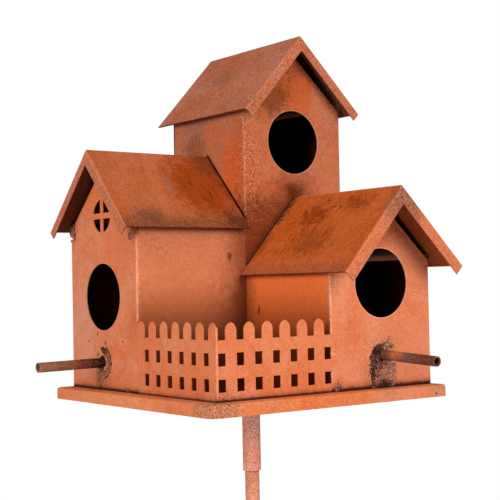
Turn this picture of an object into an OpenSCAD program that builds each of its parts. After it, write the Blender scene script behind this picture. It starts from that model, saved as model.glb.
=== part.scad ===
// Birdhouse on a pole: three folded-sheet houses and a picket fence on a square tray.
// The origin is the middle of the pole's foot, +Z is up, and the gables face -Y and -X.

/* [Sheet metal] */
// Thickness of every sheet
sheet_t = 1; // [0.6:0.1:1.6]
// Outside radius of the folds in the walls and roofs
bend_r = 2.2; // [1.8:0.1:4]
// Clearance left at a welded or resting seat
seat_gap = 0.1; // [0.05:0.05:0.3]

/* [Tray] */
// Side of the square tray
tray_w = 250; // [240:1:320]
// Height of the turned-down rim
tray_rim = 10; // [6:0.5:25]
// Radius of the tray's corners in plan
tray_corner_r = 6; // [4:0.5:20]
// Distance from the tray's two front edges to the gables
front_margin = 17; // [10:0.5:30]
// Distance from the tray's two rear edges to the back walls
back_margin = 3; // [1:0.5:15]

/* [House walls] */
// Side wall height of the left house
left_wall_h = 149.7; // [135:0.1:165]
// Side wall height of the right house
right_wall_h = 109.3; // [100:0.1:115]
// Side wall height of the tower
tower_wall_h = 257.7; // [245:0.1:300]
// Slope of a gable's top edges from the level, less than the roof's
gable_pitch = 42.4; // [38:0.1:45]
// Drop of the left gable's shoulders below the side walls
left_drop = 8.7; // [1:0.1:12]
// Drop of the right gable's shoulders below the side walls
right_drop = 2.5; // [1:0.1:12]
// Drop of the tower gable's shoulders below the side walls
tower_drop = 5.7; // [1:0.1:12]
// Width of the corner relief cut in the left gable's shoulders
relief_w = 9; // [3:0.5:12]
// Height of the corner relief
relief_h = 7; // [2:0.5:10]
// Depth of the return flanges on the tower's back panel
back_flange = 9; // [5:0.5:15]

/* [Entry holes] */
// Diameter of the three entry holes
entry_d = 59; // [30:0.5:62]
// How far the left entry's middle lies below its side walls' top
left_entry_drop = 68.2; // [58:0.1:75]
// How far the right entry's middle lies below its side walls' top
right_entry_drop = 20.3; // [16:0.1:30]
// How far the tower entry's middle lies below its side walls' top
tower_entry_drop = 36.2; // [25:0.1:45]

/* [Round window] */
// Diameter of the left house's window
window_d = 29.5; // [16:0.5:31]
// How far the window's middle lies above the side walls' top
window_rise = 3.3; // [-2:0.1:6]
// Width of the window's cross bars
window_bar = 5; // [2:0.5:6]

/* [Roofs] */
// Slope of a roof half from the level, before the roof is tilted
roof_pitch = 46; // [45:0.1:55]
// How far the eaves stand out from the side walls, measured level
eave_out = 9.9; // [4:0.1:12]
// Tilt of the left roof about its ridge, in degrees, steeper over the yard
left_tilt = 0.8; // [-2:0.1:2]
// Tilt of the right roof about its ridge, in degrees, steeper over the yard
right_tilt = 2; // [-2:0.1:2]
// Tilt of the tower's roof about its ridge, in degrees, steeper on the same side
tower_tilt = 1.8; // [-2:0.1:2]
// How far the left roof stands out from its gable
left_roof_out = 15.7; // [8:0.1:30]
// How far the right roof stands out from its gable
right_roof_out = 29.3; // [8:0.1:35]
// How far the tower roof stands out from its gable
tower_roof_out = 15; // [8:0.1:30]
// How far the tower roof stands out at the back
tower_roof_back = 16; // [4:0.5:30]
// Gap between a lower roof's back end and the tower
roof_back_gap = 0.8; // [0.3:0.1:0.9]
// Width of the left roof's turned-down front edge
left_fascia = 9.3; // [5:0.1:14]
// Width of the right roof's turned-down front edge
right_fascia = 11; // [5:0.1:14]
// Width of the tower roof's turned-down front edge
tower_fascia = 9.5; // [5:0.1:14]

/* [Picket fence] */
// Height of the fence to its points
fence_h = 61; // [55:0.5:75]
// Number of pickets on the left side
left_pickets = 7; // [4:1:8]
// Width of a picket
picket_w = 10.6; // [8:0.1:12]
// Height of the curved point of a picket
point_h = 6.5; // [5.5:0.5:10]
// Height of the bottom rail
bottom_rail_h = 7.4; // [4:0.1:10]
// Height of the two rails above it
rail_h = 10; // [6:0.5:11]
// Height of the openings between the rails
fence_hole_h = 10; // [6:0.5:11]
// Outside radius of the fence's corner fold
fence_bend_r = 1.6; // [1.6:0.1:3]

/* [Perches] */
// Outside diameter of the perch tubes
perch_d = 8.5; // [6:0.1:12]
// Wall of the perch tubes
perch_wall = 0.8; // [0.5:0.1:1.5]
// Length of a perch from its gable
perch_len = 64; // [40:1:90]
// Height of the left perch above the tray
left_perch_z = 24; // [18:0.5:35]
// Height of the right perch above the tray
right_perch_z = 28; // [18:0.5:35]
// Droop of the left perch below the level, in degrees
left_perch_droop = 1; // [0:0.5:4]
// Droop of the right perch below the level, in degrees
right_perch_droop = 3; // [0:0.5:4]
// Width of the weld bead round a perch
perch_weld_w = 3; // [1:0.5:5]

/* [Socket and pole] */
// Outside diameter of the socket tube under the tray
socket_d = 16; // [14:0.1:30]
// Length of the socket tube
socket_len = 74; // [40:1:150]
// Width of the weld bead at the top of the socket tube
socket_weld_w = 4; // [2:0.5:6]
// Outside diameter of the pole
pole_d = 12.7; // [8:0.1:12.8]
// How much thinner the pole's spigot is, where it goes into the socket
spigot_step = 1.7; // [1.2:0.1:3]
// Clearance of the spigot in the socket, on the diameter
socket_fit = 0.3; // [0.1:0.05:0.6]
// Length of the pole
pole_len = 730; // [300:10:1500]
// Sideways distance from the middle of the tray to the pole
pole_offset = 4; // [0:0.5:10]

/* [Hidden] */
$fn = 48;

// Rust colours, from the brightest face to the darkest weld
rust_face = [0.86, 0.49, 0.34];
rust_roof = [0.68, 0.36, 0.19];
rust_tower = [0.74, 0.40, 0.27];
rust_tube = [0.58, 0.34, 0.24];
rust_weld = [0.30, 0.17, 0.12];

// Overshoot of a cutting solid past the face that it cuts
over = 1;
// Top of the tray's sheet
deck = pole_len + seat_gap + sheet_t;
// Middle of the tray in plan
tray_x = -pole_offset;
// Outside width and depth of each house
cell = (tray_w - front_margin - back_margin) / 2;
// Gable planes, the inner corner of the yard and the back walls, from the tray's middle
front = -tray_w / 2 + front_margin;
inner = front + cell;
back = inner + cell;
// Half a house's width: the ridge lies over it
half = cell / 2;
// Rise of a gable from its shoulders to its peak
gable_rise = half * tan(gable_pitch);
// Length of a roof half down its slope
slope_len = (half + eave_out) / cos(roof_pitch);
// Height from a wall's top outer edge to the peak of the roof's underside, and to the ridge
peak_rise = half * tan(roof_pitch);
ridge_rise = peak_rise + (sheet_t + seat_gap) / cos(roof_pitch);
// Spigot inside the socket, the height at which the pole steps down to it, and the socket's bore
spigot_d = pole_d - spigot_step;
spigot_z = pole_len - socket_len - over;
socket_bore = spigot_d + socket_fit;
// Ball size of a shoulder weld
nub_r = 2.4;
nub_drip_r = 1.3;
nub_drip = 3.2;
// Share of the socket weld's width that its hollow face cuts away
weld_hollow = 0.8;
// Straight length of a picket below its point
picket_straight = fence_h - point_h;
// Radius of the arcs that meet in a picket's point
point_r = (pow(picket_w / 2, 2) + pow(point_h, 2)) / picket_w;
// Open widths between pickets on the two sides
left_gap = (cell - left_pickets * picket_w) / (left_pickets - 1);
right_pickets = left_pickets - 1;
right_gap = (cell - fence_bend_r - right_pickets * picket_w) / left_pickets;

// Puts a house's own axes in place: x across the gable, y inwards, z up from the tray
module at_left() {
    translate([tray_x + front, back, deck]) rotate([0, 0, -90]) children();
}
module at_right() {
    translate([tray_x + inner, front, deck]) children();
}
module at_tower() {
    translate([tray_x + inner, inner, deck]) children();
}

// Rectangle with its two front corners rounded
module front_rounded(w, d, r) {
    translate([0, r]) square([w, d - r]);
    translate([r, 0]) square([w - 2 * r, d]);
    for (x = [r, w - r])
        translate([x, r]) circle(r);
}

// Plan of a sheet folded to a U, open at the back
module folded_u(w, d) {
    difference() {
        front_rounded(w, d, bend_r);
        translate([sheet_t, sheet_t]) front_rounded(w - 2 * sheet_t, d, bend_r - sheet_t);
    }
}

// Everything above the underside of a roof, less the seat
module above_roof(wall_h, tilt, depth) {
    fall = cell * tan(roof_pitch);
    translate([half, 0, wall_h + ridge_rise]) rotate([0, -tilt, 0])
        translate([0, depth + over, peak_rise - ridge_rise]) rotate([90, 0, 0])
            linear_extrude(depth + 2 * over)
                polygon([[0, 0], [cell, -fall], [cell, cell], [-cell, cell], [-cell, -fall]]);
}

// Everything above a gable's sloping top edges, for the sheets that lie between y0 and y1
module above_gable(shoulder_z, y0, y1) {
    side = half + over;
    fall = gable_rise * side / half;
    translate([half, y1, shoulder_z + gable_rise]) rotate([90, 0, 0])
        linear_extrude(y1 - y0)
            polygon([[0, 0], [side, -fall], [side, 2 * cell], [-side, 2 * cell], [-side, -fall]]);
}

// Round entry hole through a gable
module entry_hole(z) {
    translate([half, -over, z]) rotate([-90, 0, 0])
        cylinder(d = entry_d, h = bend_r + 2 * over, $fn = 96);
}

// Four panes left by a cross of two bars in a round window
module window_panes() {
    translate([half, bend_r, left_wall_h + window_rise]) rotate([90, 0, 0])
        linear_extrude(bend_r + over)
            difference() {
                circle(d = window_d, $fn = 64);
                square([window_bar, window_d + over], center = true);
                square([window_d + over, window_bar], center = true);
            }
}

// Front and side walls of a house: one sheet folded at the two front corners, its side walls level
// along the top, so that a slot stays open under the raised side of a tilted roof
module house_shell(wall_h, drop, entry_drop, tilt) {
    difference() {
        linear_extrude(wall_h + peak_rise) folded_u(cell, cell - seat_gap);
        above_roof(wall_h, tilt, cell);
        translate([-over, bend_r, wall_h]) cube([cell + 2 * over, cell, cell]);
        above_gable(wall_h - drop, -over, bend_r);
        entry_hole(wall_h - entry_drop);
    }
}

// Section of a roof sheet along its ridge: the slope, the fold and the turned-down fascia
module roof_section(len, fascia_w) {
    translate([bend_r, -sheet_t]) square([len - bend_r, sheet_t]);
    translate([0, -fascia_w]) square([sheet_t, fascia_w - bend_r]);
    translate([bend_r, -bend_r]) intersection() {
        difference() {
            circle(bend_r);
            circle(bend_r - sheet_t);
        }
        translate([-bend_r, 0]) square(bend_r);
    }
}

// Folded roof: two slopes that meet at the ridge, with a mitred fascia at the front
module folded_roof(wall_h, tilt, out, end, fascia_w) {
    len = out + end;
    translate([half, -out, wall_h + ridge_rise]) rotate([0, -tilt, 0])
        for (side = [0, 1])
            mirror([side, 0, 0])
                intersection() {
                    rotate([0, roof_pitch, 0]) rotate([90, 0, 90])
                        linear_extrude(slope_len) roof_section(len, fascia_w);
                    translate([0, -over, -2 * cell]) cube([2 * cell, len + 2 * over, 4 * cell]);
                }
}

// Perch tube, cut flush where it meets the gable
module perch_tube(z, droop) {
    len = perch_len + perch_d;
    difference() {
        translate([half, 0, z]) rotate([90 + droop, 0, 0]) translate([0, 0, -perch_d])
            difference() {
                cylinder(d = perch_d, h = len);
                translate([0, 0, -over]) cylinder(d = perch_d - 2 * perch_wall, h = len + 2 * over);
            }
        translate([0, -seat_gap, 0]) cube([cell, cell, cell]);
    }
}

// Ring of weld between a perch and its gable
module perch_bead(z, droop) {
    bead_r = perch_d / 2 + seat_gap;
    difference() {
        translate([half, -seat_gap, z]) rotate([90, 0, 0])
            rotate_extrude() intersection() {
                translate([bead_r - perch_weld_w, 0]) circle(2 * perch_weld_w);
                square([bead_r + perch_weld_w, perch_weld_w]);
            }
        translate([half, 0, z]) rotate([90 + droop, 0, 0]) translate([0, 0, -perch_d])
            cylinder(r = bead_r, h = perch_len);
    }
}

// Drop of weld under the eave at one shoulder of a gable
module shoulder_nub(wall_h, tilt) {
    top = wall_h + ridge_rise - half * tan(roof_pitch - tilt) - sheet_t - seat_gap;
    difference() {
        translate([cell, bend_r, top - nub_r]) hull() {
            sphere(nub_r, $fn = 20);
            translate([0, 0, -nub_drip]) sphere(nub_drip_r, $fn = 16);
        }
        translate([0, -cell, 0]) cube([cell + seat_gap, 2 * cell, 2 * wall_h]);
        translate([0, -half, -seat_gap]) above_roof(wall_h, tilt, cell);
    }
}
module both_nubs(wall_h, tilt) {
    shoulder_nub(wall_h, tilt);
    translate([cell, 0, 0]) mirror([1, 0, 0]) shoulder_nub(wall_h, -tilt);
}

// One picket with its curved point, from the bottom of the fence
module picket() {
    square([picket_w, picket_straight]);
    translate([picket_w / 2, picket_straight]) intersection() {
        translate([point_r - picket_w / 2, 0]) circle(point_r, $fn = 64);
        translate([picket_w / 2 - point_r, 0]) circle(point_r, $fn = 64);
        translate([-picket_w, 0]) square([2 * picket_w, point_h + over]);
    }
}

// Flat pattern of one side of the fence, with its first picket after start
module fence_side(len, count, gap, start) {
    pitch = rail_h + fence_hole_h;
    square([len, bottom_rail_h]);
    for (i = [0, 1])
        translate([0, bottom_rail_h + fence_hole_h + i * pitch]) square([len, rail_h]);
    for (i = [0 : count - 1])
        translate([start + i * (picket_w + gap), 0]) picket();
}

// Round block at one corner of the tray, smaller by inset and longer by foot at the bottom
module tray_corner(inset, foot) {
    r = tray_corner_r - inset;
    top = bend_r - inset;
    rotate_extrude($fn = 32) {
        translate([0, -foot]) square([r, tray_rim - bend_r + foot]);
        translate([0, tray_rim - bend_r]) square([r - top, top]);
        translate([r - top, tray_rim - bend_r]) intersection() {
            circle(top);
            square(top);
        }
    }
}
module tray_block(inset, foot) {
    at = tray_w / 2 - tray_corner_r;
    hull() for (x = [-at, at], y = [-at, at])
        translate([x, y, 0]) tray_corner(inset, foot);
}

module base_tray() {
    color(rust_face) translate([tray_x, 0, deck - tray_rim]) difference() {
        tray_block(0, 0);
        tray_block(sheet_t, over);
    }
}

module fence() {
    len = cell - seat_gap;
    color(rust_face) translate([tray_x + front, front, deck]) intersection() {
        linear_extrude(fence_h + over) difference() {
            union() {
                translate([0, fence_bend_r]) square([sheet_t, len - fence_bend_r]);
                translate([fence_bend_r, 0]) square([len - fence_bend_r, sheet_t]);
                translate([fence_bend_r, fence_bend_r]) intersection() {
                    circle(fence_bend_r);
                    translate([-fence_bend_r, -fence_bend_r]) square(fence_bend_r);
                }
            }
            translate([fence_bend_r, fence_bend_r]) circle(fence_bend_r - sheet_t);
        }
        union() {
            translate([0, len, 0]) rotate([90, 0, -90]) translate([0, 0, -fence_bend_r])
                linear_extrude(fence_bend_r + over)
                    fence_side(cell, left_pickets, left_gap, -seat_gap);
            translate([fence_bend_r, sheet_t, 0]) rotate([90, 0, 0])
                linear_extrude(sheet_t + over)
                    fence_side(cell, right_pickets, right_gap, right_gap);
        }
    }
}

module left_shell() {
    color(rust_face) at_left() difference() {
        house_shell(left_wall_h, left_drop, left_entry_drop, -left_tilt);
        window_panes();
        for (x = [-over, cell - relief_w])
            translate([x, -over, left_wall_h - left_drop - relief_h])
                cube([relief_w + over, bend_r + over, cell]);
    }
}

module right_shell() {
    color(rust_face) at_right() house_shell(right_wall_h, right_drop, right_entry_drop, right_tilt);
}

module tower_shell() {
    color(rust_tower) at_tower() house_shell(tower_wall_h, tower_drop, tower_entry_drop, tower_tilt);
}

// Back of the tower: a gable panel with a return flange on each side
module tower_back() {
    w = cell - 2 * sheet_t - 2 * seat_gap;
    color(rust_tower) at_tower() difference() {
        translate([cell - sheet_t - seat_gap, cell, 0]) rotate([0, 0, 180])
            linear_extrude(tower_wall_h + gable_rise) folded_u(w, back_flange);
        above_gable(tower_wall_h - tower_drop, cell - back_flange - over, cell + over);
    }
}

module left_roof() {
    color(rust_roof) at_left()
        folded_roof(left_wall_h, -left_tilt, left_roof_out, cell - roof_back_gap, left_fascia);
}

module right_roof() {
    color(rust_roof) at_right()
        folded_roof(right_wall_h, right_tilt, right_roof_out, cell - roof_back_gap, right_fascia);
}

module tower_roof() {
    color(rust_roof) at_tower()
        folded_roof(tower_wall_h, tower_tilt, tower_roof_out, cell + tower_roof_back, tower_fascia);
}

module left_perch() {
    color(rust_tube) at_left() perch_tube(left_perch_z, left_perch_droop);
}

module right_perch() {
    color(rust_tube) at_right() perch_tube(right_perch_z, right_perch_droop);
}

module left_perch_weld() {
    color(rust_weld) at_left() perch_bead(left_perch_z, left_perch_droop);
}

module right_perch_weld() {
    color(rust_weld) at_right() perch_bead(right_perch_z, right_perch_droop);
}

module shoulder_welds() {
    color(rust_weld) {
        at_left() both_nubs(left_wall_h, -left_tilt);
        at_right() both_nubs(right_wall_h, right_tilt);
        at_tower() both_nubs(tower_wall_h, tower_tilt);
    }
}

module socket_tube() {
    color(rust_tube) translate([0, 0, pole_len + seat_gap - socket_len]) difference() {
        cylinder(d = socket_d, h = socket_len, $fn = 64);
        translate([0, 0, -over]) cylinder(d = socket_bore, h = socket_len + 2 * over, $fn = 64);
    }
}

// Ring of weld between the socket tube and the underside of the tray
module socket_weld() {
    color(rust_weld) translate([0, 0, pole_len + seat_gap]) mirror([0, 0, 1])
        rotate_extrude($fn = 64) difference() {
            translate([socket_d / 2 + seat_gap, 0]) square(socket_weld_w);
            translate([socket_d / 2 + seat_gap + socket_weld_w, socket_weld_w])
                circle(weld_hollow * socket_weld_w);
        }
}

module pole() {
    color(rust_tube) {
        cylinder(d = pole_d, h = spigot_z, $fn = 64);
        cylinder(d = spigot_d, h = pole_len, $fn = 64);
    }
}

base_tray();
fence();
left_shell();
right_shell();
tower_shell();
tower_back();
left_roof();
right_roof();
tower_roof();
left_perch();
right_perch();
left_perch_weld();
right_perch_weld();
shoulder_welds();
socket_tube();
socket_weld();
pole();
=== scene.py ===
# Birdhouse on a pole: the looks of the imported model, in metres, in the part's own frame.
import math
import random

import bmesh
import bpy
from mathutils import Matrix, Vector, noise


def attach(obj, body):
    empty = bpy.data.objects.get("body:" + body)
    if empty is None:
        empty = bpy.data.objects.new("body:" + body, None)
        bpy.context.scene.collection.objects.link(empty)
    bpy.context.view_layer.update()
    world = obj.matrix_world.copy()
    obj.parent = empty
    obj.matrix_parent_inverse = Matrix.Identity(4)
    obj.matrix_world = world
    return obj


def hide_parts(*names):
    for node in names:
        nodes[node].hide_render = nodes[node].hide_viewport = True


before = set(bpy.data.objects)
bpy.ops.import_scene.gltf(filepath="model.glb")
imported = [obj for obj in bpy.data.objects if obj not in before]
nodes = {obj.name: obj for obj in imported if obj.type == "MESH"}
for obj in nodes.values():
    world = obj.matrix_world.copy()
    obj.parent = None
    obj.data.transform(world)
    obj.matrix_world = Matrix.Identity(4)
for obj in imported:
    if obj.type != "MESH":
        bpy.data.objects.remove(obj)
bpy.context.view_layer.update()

MM = 0.001

# Places on the part, in metres from the foot of the pole, and its slopes
DECK = 0.7311
GABLE_X, INNER_X, BACK_X = -0.112, 0.003, 0.118
GABLE_Y, INNER_Y, BACK_Y = -0.108, 0.007, 0.122
LEFT_Y = (INNER_Y + BACK_Y) / 2
RIGHT_X = (INNER_X + BACK_X) / 2
LEFT_RIDGE, RIGHT_RIDGE, TOWER_RIDGE = DECK + 0.21083, DECK + 0.17043, DECK + 0.31883
LEFT_PITCH, RIGHT_PITCH, TOWER_PITCH = math.radians(46.8), math.radians(48), math.radians(47.8)
RIGHT_WALL_TOP, TOWER_WALL_TOP = DECK + 0.1093, DECK + 0.2577
LEFT_ROOF_OUT, RIGHT_ROOF_OUT, TOWER_ROOF_OUT = 0.0157, 0.0293, 0.015
LEFT_ENTRY = (GABLE_X, LEFT_Y, DECK + 0.0815)
RIGHT_ENTRY = (RIGHT_X, GABLE_Y, DECK + 0.089)
TOWER_ENTRY = (RIGHT_X, INNER_Y, DECK + 0.2215)
SOCKET_TOP = Vector((0, 0, DECK - 0.010))
TRAY_CORNER = Vector((-0.129, -0.125, DECK))
SHEET = 1.0 * MM

# Feet of the folds that rise from the tray at the corners of the yard
YARD_CORNER = (GABLE_X, GABLE_Y, DECK)
LEFT_CORNER = (GABLE_X, INNER_Y, DECK)
RIGHT_CORNER = (INNER_X, GABLE_Y, DECK)
TOWER_CORNER = (INNER_X, INNER_Y, DECK)

# Sizes in millimetres, and heights above the tray
ENTRY_R = 29.5
PERCH_R = 4.25
LEFT_PERCH_Z, RIGHT_PERCH_Z = 24, 28
HALF_SLOPE = 97

# Limits of the shaded boxes, past every side of the part
CEILING, FAR = 1.2, 1.0

# Directions
UP = (0, 0, 1)
ALONG_X = (1, 0, 0)
ALONG_Y = (0, 1, 0)
X_AXIS, Y_AXIS = 0, 1

# Scales of the noise patterns, per metre
WIDE_PATCHES, SMALL_PATCHES, DRIFTS = 17.0, 75.0, 34.0
SAND, SOFT_GRAIN, POWDER = 1000.0, 240.0, 700.0
SPECKS, GRIT = 800.0, 720.0
LINE_EDGE, SPOT_EDGE = 210.0, 130.0
CLAW_STREAKS = (150.0, 34.0, 34.0)


def on_left(y, z):
    """Point on the left gable, from millimetres along Y and above the tray."""
    return (GABLE_X, y * MM, DECK + z * MM)


def on_right(x, z):
    """Point on the right gable, from millimetres along X and above the tray."""
    return (x * MM, GABLE_Y, DECK + z * MM)


def on_front(x, z):
    """Point in the plane of the tower's front and the left house's wall over the yard."""
    return (x * MM, INNER_Y, DECK + z * MM)


def on_inner(y, z):
    """Point in the plane of the tower's left wall and the right house's wall over the yard."""
    return (INNER_X, y * MM, DECK + z * MM)


def down_slope(ridge, pitch, down):
    """Sideways distance from a ridge, and height, of a point so many millimetres down its slope."""
    return down * MM * math.cos(pitch), ridge - down * MM * math.sin(pitch)


def on_left_roof(x, down):
    """Point on the roof's slope over the yard, from millimetres along X and down from the ridge."""
    level, height = down_slope(LEFT_RIDGE, LEFT_PITCH, down)
    return (x * MM, LEFT_Y - level, height)


def on_right_roof(y, down):
    """Point on the right roof's slope over the yard, from millimetres along Y and down from the ridge."""
    level, height = down_slope(RIGHT_RIDGE, RIGHT_PITCH, down)
    return (RIGHT_X - level, y * MM, height)


def on_tower_roof(y, down):
    """Point on the tower roof's slope over the left house, placed as on the right roof."""
    level, height = down_slope(TOWER_RIDGE, TOWER_PITCH, down)
    return (RIGHT_X - level, y * MM, height)


def srgb(red, green, blue):
    """Linear colour of a paint chip given as 0-255 values."""
    def linear(value):
        share = value / 255
        return share / 12.92 if share <= 0.04045 else ((share + 0.055) / 1.055) ** 2.4
    return (linear(red), linear(green), linear(blue), 1.0)


MIX_SHARE, MIX_UNDER, MIX_OVER, MIX_RESULT = 0, 6, 7, 2


class Bench:
    """A node tree being wired: each call adds one node and gives its output."""

    def __init__(self, tree):
        self.tree = tree

    def feed(self, socket, value):
        """Joins an output to a socket, or sets the socket to a plain value."""
        if isinstance(value, bpy.types.NodeSocket):
            self.tree.links.new(value, socket)
        else:
            socket.default_value = value

    def math(self, operation, first, second=0.0):
        node = self.tree.nodes.new("ShaderNodeMath")
        node.operation = operation
        for socket, value in zip(node.inputs, (first, second)):
            self.feed(socket, value)
        return node.outputs[0]

    def vector(self, operation, first, second=(0, 0, 0)):
        node = self.tree.nodes.new("ShaderNodeVectorMath")
        node.operation = operation
        self.feed(node.inputs[0], first)
        self.feed(node.inputs[1], second)
        return node.outputs["Value" if operation in ("LENGTH", "DISTANCE", "DOT_PRODUCT") else "Vector"]

    def height(self, place):
        """The Z of a place or a normal."""
        node = self.tree.nodes.new("ShaderNodeSeparateXYZ")
        self.feed(node.inputs[0], place)
        return node.outputs[2]

    def noise(self, place, scale, detail=4.0, rough=0.6, twist=0.0):
        node = self.tree.nodes.new("ShaderNodeTexNoise")
        for name, value in (("Vector", place), ("Scale", scale), ("Detail", detail),
                            ("Roughness", rough), ("Distortion", twist)):
            self.feed(node.inputs[name], value)
        return node.outputs["Fac"]

    def dots(self, place, scale, size, share):
        """Round grains of uneven size on a share of the cells."""
        node = self.tree.nodes.new("ShaderNodeTexVoronoi")
        self.feed(node.inputs["Vector"], place)
        self.feed(node.inputs["Scale"], scale)
        lots = self.tree.nodes.new("ShaderNodeSeparateColor")
        self.feed(lots.inputs[0], node.outputs["Color"])
        smallest, spread = size * 0.6, size * 0.8
        reach = self.math("ADD", smallest, self.math("MULTIPLY", lots.outputs[1], spread))
        inside = self.step(self.math("DIVIDE", node.outputs["Distance"], reach), 1.0, 0.55)
        return self.math("MULTIPLY", inside, self.step(lots.outputs[0], 1 - share, 1.04 - share))

    def step(self, value, low, high):
        """0 below low, 1 above high, smooth between."""
        node = self.tree.nodes.new("ShaderNodeMapRange")
        node.interpolation_type = "SMOOTHSTEP"
        for name, number in (("Value", value), ("From Min", low), ("From Max", high)):
            self.feed(node.inputs[name], number)
        return node.outputs["Result"]

    def blend(self, share, under, over, mode="MIX"):
        """One colour laid over another by a share."""
        node = self.tree.nodes.new("ShaderNodeMix")
        node.data_type = "RGBA"
        node.blend_type = mode
        for number, value in ((MIX_SHARE, share), (MIX_UNDER, under), (MIX_OVER, over)):
            self.feed(node.inputs[number], value)
        return node.outputs[MIX_RESULT]

    def group(self, tree, **values):
        """Places a shader group. An underscore in a value's name is a space in the socket's."""
        node = self.tree.nodes.new("ShaderNodeGroup")
        node.node_tree = tree
        for name, value in values.items():
            self.feed(node.inputs[name.replace("_", " ")], value)
        return node.outputs


def new_group(name, takes, gives):
    """Shader group with named sockets; takes is (name, kind, value), gives is (name, kind)."""
    tree = bpy.data.node_groups.new(name, "ShaderNodeTree")
    for label, kind, value in takes:
        socket = tree.interface.new_socket(label, in_out="INPUT", socket_type="NodeSocket" + kind)
        socket.default_value = value
    for label, kind in gives:
        tree.interface.new_socket(label, in_out="OUTPUT", socket_type="NodeSocket" + kind)
    return tree, tree.nodes.new("NodeGroupInput").outputs, tree.nodes.new("NodeGroupOutput").inputs


def object_place(bench):
    return bench.tree.nodes.new("ShaderNodeTexCoord").outputs["Object"]


def rust_clouds_group():
    """Wide patches of a second rust colour, and streaks of a third along one direction."""
    tree, given, out = new_group("rust_clouds", (
        ("Shift", "Vector", (0, 0, 0)), ("Light", "Color", (1, 1, 1, 1)), ("Mid", "Color", (1, 1, 1, 1)),
        ("Patches", "Float", 0.5), ("Streaks", "Float", 0.0), ("Streak Scale", "Vector", (60, 60, 60)),
        ("Streak Colour", "Color", (0, 0, 0, 1))), (("Color", "Color"),))
    bench = Bench(tree)
    place = bench.vector("ADD", object_place(bench), given["Shift"])
    wide = bench.noise(place, WIDE_PATCHES, 5.0, 0.6, 0.5)
    small = bench.noise(place, SMALL_PATCHES, 6.0, 0.72, 0.3)
    share = bench.math("MULTIPLY", bench.step(wide, 0.42, 0.62), given["Patches"])
    colour = bench.blend(share, given["Light"], given["Mid"])
    share = bench.math("MULTIPLY", bench.step(small, 0.46, 0.66), given["Patches"])
    colour = bench.blend(share, colour, given["Mid"])
    streak = bench.noise(bench.vector("MULTIPLY", place, given["Streak Scale"]), 1.0, 6.0, 0.68, 0.9)
    share = bench.math("MULTIPLY", bench.step(streak, 0.44, 0.68), given["Streaks"])
    colour = bench.blend(share, colour, given["Streak Colour"])
    bench.feed(out["Color"], colour)
    return tree


def rust_grain_group():
    """Sandpaper grain over a colour: light and dark grains, dark specks in drifts and pale powder."""
    tree, given, out = new_group("rust_grain", (
        ("Shift", "Vector", (0, 0, 0)), ("Color", "Color", (1, 1, 1, 1)), ("Dark", "Color", (0, 0, 0, 1)),
        ("Bloom", "Color", (1, 1, 1, 1)), ("Grain", "Float", 0.3), ("Specks", "Float", 0.5),
        ("Powder", "Float", 0.3)),
        (("Color", "Color"), ("Roughness", "Float"), ("Height", "Float"), ("Grit", "Float"),
         ("Sparkle", "Float")))
    bench = Bench(tree)
    place = bench.vector("ADD", object_place(bench), given["Shift"])
    far = bench.vector("ADD", place, (0.31, 0.17, 0.23))
    sand = bench.noise(place, SAND, 2.0, 0.7)
    soft = bench.noise(far, SOFT_GRAIN, 4.0, 0.7)
    drift = bench.step(bench.noise(far, DRIFTS, 4.0, 0.65), 0.38, 0.66)
    swing = bench.math("MULTIPLY", bench.math("SUBTRACT", sand, 0.5), given["Grain"])
    softer = bench.math("MULTIPLY", bench.math("SUBTRACT", soft, 0.5), given["Grain"])
    swing = bench.math("ADD", swing, bench.math("MULTIPLY", softer, 0.35))
    swing = bench.math("ADD", 1.0, bench.math("MULTIPLY", swing, 4.0))
    colour = bench.blend(1.0, given["Color"], swing, "MULTIPLY")
    pale = bench.step(bench.noise(far, POWDER, 3.0, 0.7), 0.50, 0.66)
    pale = bench.math("MULTIPLY", pale, given["Powder"])
    pale = bench.math("MULTIPLY", pale, bench.math("SUBTRACT", 1.2, drift))
    colour = bench.blend(pale, colour, given["Bloom"])
    specks = bench.math("MULTIPLY", bench.dots(place, SPECKS, 0.38, 0.40), given["Specks"])
    specks = bench.math("MULTIPLY", specks, bench.math("ADD", 0.3, drift))
    colour = bench.blend(bench.math("MINIMUM", specks, 1.0), colour, given["Dark"])
    bench.feed(out["Color"], colour)
    bench.feed(out["Roughness"], bench.math("ADD", 0.72, bench.math("MULTIPLY", soft, 0.25)))
    rise = bench.math("ADD", bench.math("MULTIPLY", sand, 0.5), bench.math("MULTIPLY", soft, 0.7))
    bench.feed(out["Height"], bench.math("SUBTRACT", rise, bench.math("MULTIPLY", specks, 0.3)))
    bench.feed(out["Grit"], bench.dots(far, GRIT, 0.46, 0.62))
    bench.feed(out["Sparkle"], bench.dots(bench.vector("ADD", far, (0.4, 0.2, 0.1)), SPECKS, 0.38, 0.42))
    return tree


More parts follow.
